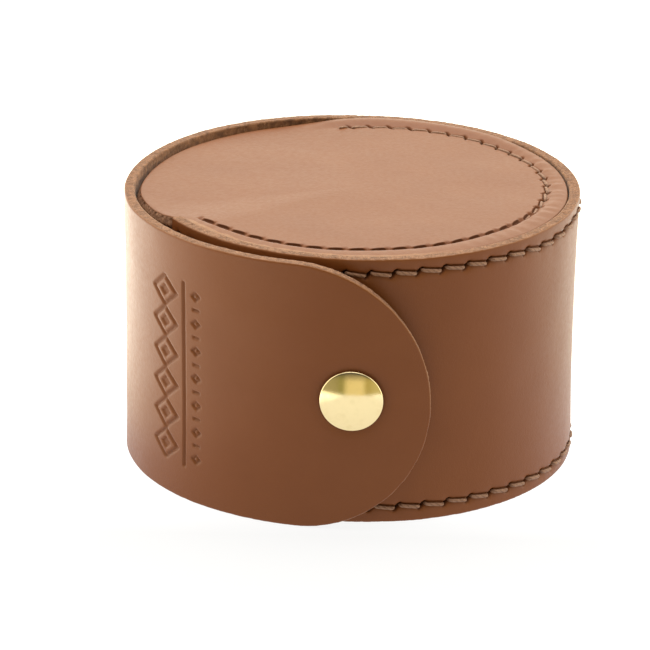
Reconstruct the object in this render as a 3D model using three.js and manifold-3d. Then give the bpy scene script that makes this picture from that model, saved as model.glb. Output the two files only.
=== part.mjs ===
// A round leather case that stands on one flat side: one long strap runs round the rim of two
// discs, is sewn to both, and carries on past its own start as a flap closed by a press stud.
//
// Frame: millimetres, +Z up, z = 0 at the underside, origin on the axis of the drum.
// Angles are degrees seen from above: 0 is the front (-Y), 90 the right (+X), 180 the back.
// The strap is followed anticlockwise, so its flap has angles from about 200 to 376.

import * as THREE from 'three';
import { mergeVertices } from 'three/addons/utils/BufferGeometryUtils.js';
import Module from 'manifold-3d';

// Leather
const leather = 2.6;            // thickness of strap and discs
const gap = 0.3;                // clearance between pieces that lie against each other
const strapHeight = 66;
const drumRadius = 52;          // outer face of the strap where it is sewn
const strapStart = -60;         // inner end of the strap, under the flap
const strapTip = 376.8;         // tip of the rounded end
const tipRadius = 33;           // the end is a half circle of the strap's own width
const tipBluntness = 2.5;       // half height left at the very tip
const bends = { root: 200, side: 245, front: 290 };  // where the flap folds
const studAngle = 358;
const stationStep = 3;          // degrees between the flats of a curved leather piece
const tipSteps = 14;            // flats round the half circle of the tip
const holeReach = 2 * leather;  // how far a cutting cylinder passes the leather it cuts

// The flap stands away from the drum: outer radius at a few angles, eased between them.
const flapCourse = [
  [178, 52], [200, 53.4], [222, 55], [250, 56.3], [286, 58.2], [312, 58.3], [345, 56.7],
  [355, 56.5], [380, 56.5],
];

// The discs fill the ring where they are sewn, and bulge into the mouth on the left.
const discThickness = 2.5;
const discCorner = strapStart - 3;  // the sewn circle ends here and the mouth's bulge begins
const discStep = 4;             // degrees between the flats of a disc
const topDiscTop = 65.6;
const mouthOutline = [
  [186, 49.2], [200, 49.8], [218, 50.8], [240, 51.9], [262, 52.9], [276, 53.6], [288, 53.2],
  [297, 51.6],
];
const sewnDiscRadius = drumRadius - leather - gap;

// Seams: one thread outside on the strap, its partner in a groove in the face of the disc.
const seam = {
  from: -57.5, to: 184, below: 3.5, discRadius: 43.8, thread: 0.5, steps: 48, sides: 6,
  grooveDepth: 1.4, grooveWidth: 1.7, grooveOverrun: 1.5,
};

// Press stud, as radii about its own axis and distances out from the drum's axis.
const stud = {
  sides: 24,
  capRadius: 7.45, capRise: 1.3, capEdge: 0.45, capSteps: 6, postRadius: 1.9, postBore: 1.2,
  postEnd: 54.25,
  socketMouth: 3.6, socketRadius: 5.6, socketWall: 0.35, socketLip: 53.0, seatDepth: 0.9,
  springRadius: 2.9, springWire: 0.3, springLift: 0.36, springSides: 8,
  flangeRadius: 5.0, flangeThickness: 0.4, neckRadius: 1.75, headRadius: 2.1, headTop: 53.95,
  headWall: 0.45, headUnder: 0.45, headShoulder: 0.75, crownRadius: 1.512, crownDrop: 0.08,
  eyeletRadius: 5.4, eyeletThickness: 0.5, eyeletBarrel: 1.0, eyeletBore: 0.5,
};
const clearance = 0.3;          // round a post in its hole

const wasm = await Module();
wasm.setup();

const leatherMaterial = new THREE.MeshStandardMaterial({ color: 0x8a5a3c, roughness: 0.5, metalness: 0 });
const threadMaterial = new THREE.MeshStandardMaterial({ color: 0x8b6b56, roughness: 0.8, metalness: 0 });
const brassMaterial = new THREE.MeshStandardMaterial({ color: 0xd8b35c, roughness: 0.2, metalness: 1 });
const steelMaterial = new THREE.MeshStandardMaterial({ color: 0xb9b9b4, roughness: 0.3, metalness: 1 });

const toRadians = THREE.MathUtils.degToRad;

// Unit vector pointing out of the drum at an angle.
function outward(angle) {
  return new THREE.Vector3(Math.sin(toRadians(angle)), -Math.cos(toRadians(angle)), 0);
}

// Value of a course of [angle, radius] points, eased from each point to the next.
function eased(course, angle) {
  if (angle <= course[0][0]) return course[0][1];
  const next = course.findIndex(([at]) => at >= angle);
  if (next < 0) return course[course.length - 1][1];
  const before = next === 1 ? course[0] : course[next - 2];
  const [a0, r0] = course[next - 1];
  const [a1, r1] = course[next];
  const after = course[Math.min(next + 1, course.length - 1)];
  const t = (angle - a0) / (a1 - a0);
  const slope0 = next === 1 ? 0 : (r1 - before[1]) / (a1 - before[0]) * (a1 - a0);
  const slope1 = after[0] === a1 ? 0 : (after[1] - r0) / (after[0] - a0) * (a1 - a0);
  const t2 = t * t;
  const t3 = t2 * t;
  return (2 * t3 - 3 * t2 + 1) * r0 + (t3 - 2 * t2 + t) * slope0
    + (3 * t2 - 2 * t3) * r1 + (t3 - t2) * slope1;
}

function outerRadius(angle) {
  return eased(flapCourse, angle);
}

function named(name, geometry, material) {
  const mesh = new THREE.Mesh(geometry, material);
  mesh.name = name;
  return mesh;
}

function welded(geometry) {
  const bare = geometry.clone();
  bare.deleteAttribute('normal');
  bare.deleteAttribute('uv');
  return mergeVertices(bare, 1e-4);
}

function toSolid(geometry) {
  const merged = welded(geometry);
  return new wasm.Manifold(new wasm.Mesh({
    numProp: 3,
    vertProperties: new Float32Array(merged.attributes.position.array),
    triVerts: new Uint32Array(merged.index.array),
  }));
}

function toGeometry(solid) {
  const mesh = solid.getMesh();
  const geometry = new THREE.BufferGeometry();
  geometry.setAttribute('position', new THREE.BufferAttribute(mesh.vertProperties, 3));
  geometry.setIndex(new THREE.BufferAttribute(mesh.triVerts, 1));
  geometry.computeVertexNormals();
  return geometry;
}

// Stations along the strap, each an angle and half a height: even steps, then the round end,
// where equal steps round the half circle set both the place along the strap and the height.
function stations(from, to) {
  const half = strapHeight / 2;
  const degreesPerMillimetre = 180 / Math.PI / outerRadius(strapTip);
  const roundFrom = strapTip - tipRadius * degreesPerMillimetre;
  const straightTo = Math.min(to, roundFrom);
  const count = Math.ceil((straightTo - from) / stationStep);
  const list = [];
  for (let i = 0; i <= count; i += 1) {
    list.push({ angle: from + (straightTo - from) * i / count, half });
  }
  if (to <= roundFrom) return list;
  const lastTurn = Math.acos(tipBluntness / tipRadius);
  for (let i = 1; i <= tipSteps; i += 1) {
    const turn = lastTurn * i / tipSteps;
    const angle = roundFrom + tipRadius * Math.sin(turn) * degreesPerMillimetre;
    list.push({ angle, half: tipRadius * Math.cos(turn) });
  }
  return list;
}

// A length of strap: a box cut into stations, bent so that its outer face follows the course.
function bentStrap(from, to) {
  const list = stations(from, to);
  const box = new THREE.BoxGeometry(1, 1, 1, list.length - 1, 1, 1);
  const place = box.attributes.position;
  for (let i = 0; i < place.count; i += 1) {
    const { angle, half } = list[Math.round((place.getX(i) + 0.5) * (list.length - 1))];
    const radius = outerRadius(angle) - (0.5 - place.getZ(i)) * leather;
    const point = outward(angle).multiplyScalar(radius);
    place.setXYZ(i, point.x, point.y, strapHeight / 2 + place.getY(i) * 2 * half);
  }
  return welded(box);
}

// Half the gap at a fold, as an angle of the strap.
function foldGap(angle) {
  return gap / 2 / outerRadius(angle) * 180 / Math.PI;
}

// Turns a shape made about +Y so that +Y points out of the drum at the stud.
function atStud(geometry) {
  const turn = new THREE.Matrix4().makeRotationZ(Math.PI + toRadians(studAngle));
  const lift = new THREE.Matrix4().makeTranslation(0, 0, strapHeight / 2);
  return geometry.applyMatrix4(turn).applyMatrix4(lift);
}

// A round piece about the stud's axis from a closed profile of [radius, distance] corners.
function turned(profile) {
  const points = profile.map(([radius, distance]) => new THREE.Vector2(radius, distance));
  return atStud(new THREE.LatheGeometry(points, stud.sides));
}

function hole(radius, from, to) {
  const cylinder = new THREE.CylinderGeometry(radius, radius, to - from, stud.sides);
  return toSolid(atStud(cylinder.translate(0, (from + to) / 2, 0)));
}

// Strap sewn to the discs, with the hole for the eyelet.
function wallBand() {
  const strap = toSolid(bentStrap(strapStart, bends.root - foldGap(bends.root)));
  const bore = stud.eyeletBarrel + clearance;
  const eyeletHole = hole(bore, drumRadius - holeReach, drumRadius + holeReach);
  return named('wall_band', toGeometry(strap.subtract(eyeletHole)), leatherMaterial);
}

function flapPanel(name, from, to) {
  return named(name, bentStrap(from + foldGap(from), to - foldGap(to)), leatherMaterial);
}

// Round-ended part of the flap, with the hole for the cap's post and the seat of the socket.
function flapFront() {
  const outer = outerRadius(studAngle);
  const strap = toSolid(bentStrap(bends.front + foldGap(bends.front), strapTip));
  const postHole = hole(stud.postRadius + clearance, outer - holeReach, outer + holeReach);
  const seatFloor = outer - leather + stud.seatDepth;
  const seat = hole(stud.socketRadius + clearance, outer - holeReach, seatFloor);
  return named('flap_front', toGeometry(strap.subtract(postHole).subtract(seat)), leatherMaterial);
}

// Outline radius of a disc: the sewn circle, and past the strap's start the mouth's bulge.
function discRadius(angle) {
  const turn = angle < discCorner ? angle + 360 : angle;
  return turn < mouthOutline[0][0] ? sewnDiscRadius : eased(mouthOutline, turn);
}

// Arc-shaped bar along a seam, to cut its groove.
function grooveBar(bottom) {
  const inner = seam.discRadius - seam.grooveWidth / 2;
  const outer = seam.discRadius + seam.grooveWidth / 2;
  const start = toRadians(seam.from - seam.grooveOverrun - 90);
  const end = toRadians(seam.to + seam.grooveOverrun - 90);
  const shape = new THREE.Shape();
  shape.absarc(0, 0, outer, start, end, false);
  shape.absarc(0, 0, inner, end, start, true);
  const options = { depth: seam.grooveDepth * 2, bevelEnabled: false, curveSegments: seam.steps };
  return toSolid(new THREE.ExtrudeGeometry(shape, options).translate(0, 0, bottom));
}

function disc(name, bottom, grooveBottom) {
  const shape = new THREE.Shape();
  for (let angle = discCorner; angle < discCorner + 360; angle += discStep) {
    const point = outward(angle).multiplyScalar(discRadius(angle));
    if (angle === discCorner) shape.moveTo(point.x, point.y);
    else shape.lineTo(point.x, point.y);
  }
  const geometry = new THREE.ExtrudeGeometry(shape, { depth: discThickness, bevelEnabled: false });
  const grooved = toSolid(geometry.translate(0, 0, bottom)).subtract(grooveBar(grooveBottom));
  return named(name, toGeometry(grooved), leatherMaterial);
}

// Arc of one seam about the drum's axis.
class SeamPath extends THREE.Curve {
  constructor(radius, height) {
    super();
    this.radius = radius;
    this.height = height;
  }

  getPoint(t, target = new THREE.Vector3()) {
    const point = outward(seam.from + (seam.to - seam.from) * t).multiplyScalar(this.radius);
    return target.set(point.x, point.y, this.height);
  }
}

function thread(name, radius, height) {
  const section = new THREE.Shape();
  for (let i = 0; i < seam.sides; i += 1) {
    const turn = 2 * Math.PI * i / seam.sides;
    const x = seam.thread * Math.cos(turn);
    const y = seam.thread * Math.sin(turn);
    if (i === 0) section.moveTo(x, y);
    else section.lineTo(x, y);
  }
  const extrudePath = new SeamPath(radius, height);
  const options = { steps: seam.steps, bevelEnabled: false, extrudePath };
  return named(name, new THREE.ExtrudeGeometry(section, options), threadMaterial);
}

function seamThreads() {
  const outside = drumRadius + gap + seam.thread;
  const inTop = topDiscTop - seam.grooveDepth + gap + seam.thread;
  const inBottom = seam.grooveDepth - gap - seam.thread;
  return [
    thread('top_seam_outer_thread', outside, strapHeight - seam.below),
    thread('bottom_seam_outer_thread', outside, seam.below),
    thread('top_seam_inner_thread', seam.discRadius, inTop),
    thread('bottom_seam_inner_thread', seam.discRadius, inBottom),
  ];
}

// Domed cap and the hollow post under it that goes through the flap.
function studCap() {
  const face = outerRadius(studAngle) + gap;
  const rim = face + stud.capEdge;
  const profile = [
    [0, face], [stud.postBore, face], [stud.postBore, stud.postEnd], [stud.postRadius, stud.postEnd],
    [stud.postRadius, face], [stud.capRadius, face],
  ];
  for (let i = 0; i <= stud.capSteps; i += 1) {
    const share = 1 - i / stud.capSteps;
    profile.push([stud.capRadius * share, rim + stud.capRise * (1 - share * share)]);
  }
  return named('stud_cap', turned(profile), brassMaterial);
}

// Socket: a shallow cup with its lip towards the drum, its floor in the flap's seat.
function studSocket() {
  const lip = stud.socketLip;
  const floorTop = outerRadius(studAngle) - leather + stud.seatDepth - gap;
  const floorUnder = floorTop - stud.socketWall;
  const bore = stud.postRadius + clearance;
  const profile = [
    [bore, floorUnder], [stud.socketMouth + stud.socketWall, floorUnder],
    [stud.socketMouth + stud.socketWall, lip + stud.socketWall], [stud.socketMouth, lip + stud.socketWall],
    [stud.socketMouth, lip], [stud.socketRadius, lip], [stud.socketRadius, floorTop], [bore, floorTop],
    [bore, floorUnder],
  ];
  return named('stud_socket', turned(profile), brassMaterial);
}

// Ring of spring wire that grips the stud's neck.
function socketSpring() {
  const middle = stud.socketLip + stud.socketWall + stud.springLift;
  const profile = [];
  for (let i = 0; i <= stud.springSides; i += 1) {
    const turn = 2 * Math.PI * (i % stud.springSides) / stud.springSides;
    const radius = stud.springRadius + stud.springWire * Math.cos(turn);
    profile.push([radius, middle + stud.springWire * Math.sin(turn)]);
  }
  return named('socket_spring', turned(profile), steelMaterial);
}

// Hollow stud on the strap: flange, neck and rounded head, open at the back for the eyelet.
function maleStud() {
  const under = drumRadius + gap;
  const over = under + stud.flangeThickness;
  const bore = stud.eyeletBarrel + clearance;
  const profile = [
    [bore, under], [stud.flangeRadius, under], [stud.flangeRadius, over], [stud.neckRadius, over],
    [stud.headRadius, over + stud.headUnder], [stud.headRadius, over + stud.headShoulder],
    [stud.crownRadius, stud.headTop - stud.crownDrop], [0, stud.headTop],
    [0, stud.headTop - stud.headWall], [bore, stud.headTop - stud.headWall],
    [bore, under],
  ];
  return named('male_stud', turned(profile), brassMaterial);
}

// Eyelet whose barrel comes through the strap from inside and holds the stud.
function studEyelet() {
  const inner = drumRadius - leather;
  const under = inner - gap - stud.eyeletThickness;
  const end = stud.headTop - stud.headWall - gap;
  const profile = [
    [stud.eyeletBore, under], [stud.eyeletRadius, under], [stud.eyeletRadius, inner - gap],
    [stud.eyeletBarrel, inner - gap], [stud.eyeletBarrel, end], [stud.eyeletBore, end],
    [stud.eyeletBore, under],
  ];
  return named('stud_eyelet', turned(profile), brassMaterial);
}

const group = new THREE.Group();
group.add(wallBand());
group.add(flapPanel('flap_root', bends.root, bends.side));
group.add(flapPanel('flap_side', bends.side, bends.front));
group.add(flapFront());
group.add(disc('top_disc', topDiscTop - discThickness, topDiscTop - seam.grooveDepth));
group.add(disc('bottom_disc', 0, -seam.grooveDepth));
group.add(...seamThreads());
group.add(studCap());
group.add(studSocket());
group.add(socketSpring());
group.add(maleStud());
group.add(studEyelet());

export default group;
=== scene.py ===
import math

import bpy
import numpy as np
from mathutils import Matrix, Vector


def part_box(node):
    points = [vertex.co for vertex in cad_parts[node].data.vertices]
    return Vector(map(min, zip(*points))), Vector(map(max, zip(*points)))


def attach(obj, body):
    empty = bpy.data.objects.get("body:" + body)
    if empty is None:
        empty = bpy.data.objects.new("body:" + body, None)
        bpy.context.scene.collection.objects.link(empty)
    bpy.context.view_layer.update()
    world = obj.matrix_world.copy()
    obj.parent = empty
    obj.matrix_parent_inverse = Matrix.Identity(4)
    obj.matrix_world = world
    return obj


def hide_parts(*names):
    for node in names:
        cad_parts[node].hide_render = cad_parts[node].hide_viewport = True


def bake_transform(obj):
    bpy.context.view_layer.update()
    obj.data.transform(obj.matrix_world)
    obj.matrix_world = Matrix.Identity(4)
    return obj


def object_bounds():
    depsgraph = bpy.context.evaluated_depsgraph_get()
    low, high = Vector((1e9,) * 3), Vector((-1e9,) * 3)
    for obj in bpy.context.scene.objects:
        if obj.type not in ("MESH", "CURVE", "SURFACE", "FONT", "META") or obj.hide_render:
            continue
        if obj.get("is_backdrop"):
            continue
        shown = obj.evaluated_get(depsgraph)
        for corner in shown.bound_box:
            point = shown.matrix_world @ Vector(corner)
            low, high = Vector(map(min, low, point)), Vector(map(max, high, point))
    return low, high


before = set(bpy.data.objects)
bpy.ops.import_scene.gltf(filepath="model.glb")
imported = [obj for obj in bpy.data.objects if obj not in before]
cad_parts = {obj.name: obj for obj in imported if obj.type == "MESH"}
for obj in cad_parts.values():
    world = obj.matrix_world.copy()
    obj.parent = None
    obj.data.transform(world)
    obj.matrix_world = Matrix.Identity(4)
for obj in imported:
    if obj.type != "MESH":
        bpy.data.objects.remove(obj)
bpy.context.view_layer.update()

# Shapes are worked out in millimetres about the drum's axis and put into meshes in metres.
# Angles are degrees seen from above: 0 the front, 90 the right, 180 the back. The strap is
# followed anticlockwise, so its flap runs from 187 round the left to 377 at its tip.
mm = 0.001


def boxOf(node):  # lowest and highest corner of a CAD node in millimetres
    low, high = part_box(node)
    return np.array(low) / mm, np.array(high) / mm


def eased(t):  # 3t^2 - 2t^3 between 0 and 1
    t = np.clip(t, 0, 1)
    return t * t * (3 - 2 * t)


def course(points, at):  # cubic through the points; each slope is the chord of its neighbours
    x, y = np.array(points, float).T
    slope = np.zeros(len(x))
    slope[1:-1] = (y[2:] - y[:-2]) / (x[2:] - x[:-2])
    at = np.clip(at, x[0], x[-1])
    i = np.clip(np.searchsorted(x, at) - 1, 0, len(x) - 2)
    gap = x[i + 1] - x[i]
    t = (at - x[i]) / gap
    left = (2 * t**3 - 3 * t**2 + 1) * y[i] + (t**3 - 2 * t**2 + t) * gap * slope[i]
    return left + (3 * t**2 - 2 * t**3) * y[i + 1] + (t**3 - t**2) * gap * slope[i + 1]


def ripple(points, size, seed, waves=20):  # cosines of random direction and phase, lengths near size
    pick = np.random.default_rng(seed)
    points = np.asarray(points, float)
    toward = pick.normal(size=(waves, points.shape[-1]))
    toward /= np.linalg.norm(toward, axis=1, keepdims=True)
    pace = 2 * np.pi / (size * pick.uniform(0.6, 1.7, waves))
    phase = pick.uniform(0, 2 * np.pi, waves)
    return np.cos(points @ (toward * pace[:, None]).T + phase).sum(-1) / math.sqrt(2 * waves)


def place(angle, radius, height):  # cylinder coordinates to a point: radius*(sin, -cos), height
    a = np.radians(angle)
    return np.stack(np.broadcast_arrays(radius * np.sin(a), -radius * np.cos(a), height), -1)


def spans(*stretches):  # joined even stretches, each (from, to, steps), without repeated ends
    parts = [np.linspace(a, b, n + 1)[1:] for a, b, n in stretches]
    return np.concatenate([[stretches[0][0]]] + parts)


def gridFaces(rows, columns, closed):  # quads of a grid; closed joins its last column to the first
    i = np.arange(rows - 1)[:, None]
    j = np.arange(columns if closed else columns - 1)[None, :]
    after = (j + 1) % columns
    quads = [i * columns + j, i * columns + after, (i + 1) * columns + after, (i + 1) * columns + j]
    return np.stack(np.broadcast_arrays(*quads), -1).reshape(-1, 4)


def placed(name, data):  # a new object in the scene
    made = bpy.data.objects.new(name, data)
    bpy.context.scene.collection.objects.link(made)
    return made


def buildMesh(name, points, quads, materials, surface=None, marks=None, ends=()):
    # points in mm. Points that meet are welded, quads with a shared corner become triangles,
    # and the whole is turned if its signed volume is negative. marks are values kept per point;
    # ends are flat faces on points of their own, so that the smooth faces round them stay smooth.
    points = np.asarray(points, float).reshape(-1, 3)
    keys = np.round(points * 2000).astype(np.int64)
    unique, first, where = np.unique(keys, axis=0, return_index=True, return_inverse=True)
    where = where.reshape(-1)
    quads = where[quads]
    surface = np.zeros(len(quads), int) if surface is None else surface
    kept = quads != np.roll(quads, 1, axis=1)
    whole = kept.sum(1) > 2
    faces = [q[k].tolist() for q, k in zip(quads[whole], kept[whole])]
    smoothFaces = len(faces)
    material = surface[whole].tolist()
    a, b, c, d = (points[first][quads[whole][:, k]] for k in range(4))
    volume = (np.cross(a, b) * c).sum() + (np.cross(a, c) * d).sum()
    for loop, slot in ends:
        ring = np.array(list(dict.fromkeys(where[loop].tolist())))
        faces.append((len(first) + np.arange(len(ring))).tolist())
        first = np.concatenate([first, first[ring]])
        material.append(slot)
    spot = points[first]
    if volume < 0:
        faces = [f[::-1] for f in faces]
    mesh = bpy.data.meshes.new(name)
    mesh.from_pydata((spot * mm).tolist(), [], faces)
    mesh.polygons.foreach_set("material_index", material)
    mesh.polygons.foreach_set("use_smooth", [i < smoothFaces for i in range(len(faces))])
    for key, value in (marks or {}).items():
        mark = mesh.attributes.new(key, "FLOAT", "POINT")
        mark.data.foreach_set("value", np.asarray(value, np.float32).reshape(-1)[first])
    mesh.update()
    for material in materials:
        mesh.materials.append(material)
    return placed(name, mesh)


def newMaterial(name):
    material = bpy.data.materials.new(name)
    material.use_nodes = True
    tree = material.node_tree
    return material, tree, tree.nodes["Principled BSDF"]


def fill(tree, made, sockets):  # the sockets of a node set to a value or linked to a socket
    for key, value in sockets.items():
        if isinstance(value, (tuple, float, int)):
            made.inputs[key].default_value = value
        else:
            tree.links.new(value, made.inputs[key])


def node(tree, kind, sockets={}, **settings):
    made = tree.nodes.new("ShaderNode" + kind)
    for key, value in settings.items():
        setattr(made, key, value)
    fill(tree, made, sockets)
    return made


def objectPlace(tree, scale=(1, 1, 1)):
    coordinate = node(tree, "TexCoord").outputs["Object"]
    return node(tree, "Mapping", {"Scale": scale, "Vector": coordinate}).outputs["Vector"]


def noise(tree, where, scale, detail=2.0, rough=0.5):
    sockets = {"Scale": scale, "Detail": detail, "Roughness": rough, "Vector": where}
    return node(tree, "TexNoise", sockets).outputs["Fac"]


def ranged(tree, source, fromLow, fromHigh, toLow, toHigh):
    sockets = {"From Min": fromLow, "From Max": fromHigh, "To Min": toLow, "To Max": toHigh}
    return node(tree, "MapRange", {**sockets, "Value": source}).outputs["Result"]


def mixed(tree, factor, first, second, blend="MIX"):  # colours are sockets or tuples
    sockets = {0: factor, 6: first, 7: second}
    return node(tree, "Mix", sockets, data_type="RGBA", blend_type=blend).outputs[2]


def product(tree, first, second):
    return node(tree, "Math", {0: first, 1: second}, operation="MULTIPLY").outputs[0]


def marked(tree, name):
    return node(tree, "Attribute", attribute_name=name).outputs["Fac"]


def bumped(tree, shader, layers):  # layers of (height, distance in metres, strength), one over another
    normal = None
    for height, distance, strength in layers:
        sockets = {"Height": height, "Distance": distance, "Strength": strength}
        if normal:
            sockets["Normal"] = normal
        normal = node(tree, "Bump", sockets).outputs["Normal"]
    tree.links.new(normal, shader.inputs["Normal"])


def rgb(red, green, blue):  # display colour 0-255 to the linear colour of a socket
    display = np.array([red, green, blue]) / 255
    linear = np.where(display <= 0.04045, display / 12.92, ((display + 0.055) / 1.055) ** 2.4)
    return (*linear.tolist(), 1.0)


grainLook = {
    # the darkest tone is for stamped leather and for painted shade in stitch slots, slits and round the
    # stud
    "brown": rgb(124, 70, 31), "deep": rgb(118, 65, 28), "pressAndShade": rgb(52, 25, 13),
    "edge": rgb(150, 104, 66), "roughness": (0.36, 0.44), "gloss": 0.26,
    "mottle": 55.0, "speck": 900.0, "pores": 2600.0, "streak": 160.0, "fibre": 1500.0,
    # depth in metres and strength of each layer of bumps
    "streakBump": (0.0004, 0.05), "poreBump": (0.00006, 0.25), "speckBump": (0.00008, 0.3),
}


def grainLeather(look):  # smooth dyed calf: faint mottle, fine pores, drawn fibres along the strap
    material, tree, shader = newMaterial("grainLeather")
    where = objectPlace(tree)
    mottle = noise(tree, where, look["mottle"], 3.0, 0.6)
    speck = noise(tree, where, look["speck"], 2.0, 0.6)
    streak = noise(tree, objectPlace(tree, (1, 1, 6)), look["streak"], 3.0, 0.6)
    pores = node(tree, "TexVoronoi", {"Scale": look["pores"], "Vector": where}).outputs["Distance"]
    colour = mixed(tree, ranged(tree, mottle, 0.2, 0.8, 0, 1), look["deep"], look["brown"])
    colour = mixed(tree, ranged(tree, speck, 0.62, 0.8, 0, 0.35), colour, look["deep"])
    # this mark darkens the grain: the stamped ornament, and painted shade in stitch slots, slits, under
    # threads and round the stud's cap
    pressAndShade = marked(tree, "pressAndShade")
    colour = mixed(tree, pressAndShade, colour, look["pressAndShade"])
    fibre = noise(tree, where, look["fibre"], 3.0, 0.7)
    raw = mixed(tree, ranged(tree, fibre, 0.35, 0.65, 0, 0.5), look["edge"], look["brown"])
    colour = mixed(tree, marked(tree, "raw"), colour, raw)
    rough = ranged(tree, speck, 0.3, 0.7, *look["roughness"])
    rough = node(tree, "Math", {0: rough, 1: pressAndShade}, operation="ADD", use_clamp=True).outputs[0]
    fill(tree, shader, {"Base Color": colour, "Roughness": rough, "Specular IOR Level": look["gloss"]})
    bumped(tree, shader, [
        (streak, *look["streakBump"]), (pores, *look["poreBump"]), (speck, *look["speckBump"]),
    ])
    return material


edgeLook = {
    "tan": rgb(142, 99, 69), "dark": rgb(104, 68, 44), "pale": rgb(182, 138, 106),
    "roughness": 0.8, "sheen": 0.0, "coarse": 900.0, "fine": 2600.0, "fineStretch": (1, 1, 1),
    "coarseReach": (0.38, 0.62), "fineReach": (0.55, 0.7),
    "coarseBump": (0.0005, 0.6), "fineBump": (0.0002, 0.6),
}
fleshLook = {
    "tan": rgb(150, 104, 68), "dark": rgb(98, 62, 36), "pale": rgb(176, 132, 94),
    "roughness": 0.92, "sheen": 0.15, "coarse": 500.0, "fine": 2400.0, "fineStretch": (1, 1, 0.5),
    "coarseReach": (0.36, 0.64), "fineReach": (0.58, 0.75),
    "coarseBump": (0.0006, 0.5), "fineBump": (0.0003, 0.6),
}


def fibrous(name, look):  # a cut edge or the rough inner side: packed fibres, pale and dark specks
    material, tree, shader = newMaterial(name)
    coarse = noise(tree, objectPlace(tree), look["coarse"], 4.0, 0.7)
    fine = noise(tree, objectPlace(tree, look["fineStretch"]), look["fine"], 3.0, 0.7)
    tanShare = ranged(tree, coarse, *look["coarseReach"], 0, 1)
    colour = mixed(tree, tanShare, look["dark"], look["tan"])
    colour = mixed(tree, ranged(tree, fine, *look["fineReach"], 0, 0.8), colour, look["pale"])
    sockets = {"Base Color": colour, "Roughness": look["roughness"], "Sheen Weight": look["sheen"]}
    fill(tree, shader, sockets)
    bumped(tree, shader, [(coarse, *look["coarseBump"]), (fine, *look["fineBump"])])
    return material


threadLook = {
    "body": rgb(142, 102, 76), "groove": rgb(112, 77, 55), "fluff": rgb(166, 130, 103),
    "roughness": 0.62, "fibre": 2600.0, "fibreBump": (0.0002, 0.5),
}


def twistedThread(look):  # waxed two-ply: painted shade between the plies and on the ends that dive into the holes, pale fibres on top
    material, tree, shader = newMaterial("twistedThread")
    where = objectPlace(tree)
    fibre = noise(tree, where, look["fibre"], 3.0, 0.7)
    ply = marked(tree, "ply")
    # painted shade in the grooves between the plies
    colour = mixed(tree, ranged(tree, ply, 0.0, 0.6, 0, 1), look["groove"], look["body"])
    colour = mixed(tree, ranged(tree, fibre, 0.5, 0.75, 0, 0.6), colour, look["fluff"])
    # painted shade where each stitch dives into its hole
    colour = mixed(tree, marked(tree, "holeShade"), colour, look["groove"])
    fill(tree, shader, {"Base Color": colour, "Roughness": look["roughness"]})
    bumped(tree, shader, [(fibre, *look["fibreBump"])])
    return material


brassLook = {
    "bright": (0.93, 0.76, 0.42, 1), "dull": (0.80, 0.62, 0.30, 1), "roughness": (0.09, 0.17),
    "haze": 420.0, "scratch": 900.0, "scratchBump": (0.00002, 0.25),
}


def polishedBrass(look):  # lacquered brass with faint handling marks
    material, tree, shader = newMaterial("polishedBrass")
    where = objectPlace(tree)
    haze = noise(tree, where, look["haze"], 3.0, 0.6)
    scratch = noise(tree, objectPlace(tree, (1, 1, 14)), look["scratch"], 2.0, 0.7)
    colour = mixed(tree, ranged(tree, haze, 0.5, 0.8, 0, 0.4), look["bright"], look["dull"])
    rough = ranged(tree, haze, 0.35, 0.7, *look["roughness"])
    fill(tree, shader, {"Base Color": colour, "Metallic": 1.0, "Roughness": rough})
    bumped(tree, shader, [(scratch, *look["scratchBump"])])
    return material


steelLook = {
    "dull": rgb(150, 150, 148), "bright": rgb(190, 190, 186), "roughness": (0.2, 0.35), "haze": 900.0,
}


def springSteel(look):  # bright drawn wire
    material, tree, shader = newMaterial("springSteel")
    haze = noise(tree, objectPlace(tree), look["haze"], 3.0, 0.6)
    colour = mixed(tree, ranged(tree, haze, 0.3, 0.7, 0, 1), look["dull"], look["bright"])
    rough = ranged(tree, haze, 0.3, 0.7, *look["roughness"])
    fill(tree, shader, {"Base Color": colour, "Metallic": 1.0, "Roughness": rough})
    return material


leather = [grainLeather(grainLook), fibrous("rawEdge", edgeLook), fibrous("fleshSide", fleshLook)]
threadMaterial = twistedThread(threadLook)
brass = polishedBrass(brassLook)
steel = springSteel(steelLook)
grainFace, rawFace, fleshFace = 0, 1, 2
print("materials made")

bandHigh = boxOf("wall_band")[1]
capLow, capHigh = boxOf("stud_cap")

strap = {
    "thick": 2.6, "height": bandHigh[2], "start": -60.0, "tip": 377.0, "tipRadius": 33.0,
    "tipDrop": 2.2, "edgeRound": 0.45, "cutWall": 187.0, "cutSide": 223.0, "cutFront": 268.0,
    # radius of the outer face at mid height, how far the top leans out, how far the middle draws in
    "outer": [
        [178, 52], [200, 53.4], [222, 55], [250, 56.3], [286, 58.05], [312, 58.25], [343, 57.25],
        [356, 57.05], [380, 56.8],
    ],
    "lean": [[180, 0], [240, 0.1], [275, 0.25], [313, 0.35], [338, 0.4], [352, 0.35], [378, 0.2]],
    "waist": [[-60, 0.1], [20, 0.3], [60, 0.5], [165, 0.5], [200, 0.25], [330, 0.25], [356, 0.1]],
}
# the cut edge: its roughness, where that dies out near the cuts between two pieces, and where the
# dyed grain gives way to raw leather, sooner on the bare corner of the tip
cutEdge = {
    "grain": 0.09, "grainSize": 1.3, "wave": 0.10, "waveSize": 5, "rise": 0.6, "calm": 2.5,
    "fibres": 0.05, "fibreSize": 2.2, "fade": 0.4, "grainTo": 0.3, "fleshFrom": 0.5,
    "rawFrom": 0.06, "rawEase": 0.2, "bareFrom": 0.05, "bareEase": 0.16,
}
mid = strap["height"] / 2
degreesPerMm = math.degrees(1 / course(strap["outer"], 370.0))
mmPerDegree = 0.9  # near the strap's face, for ripples that run round the drum

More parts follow.
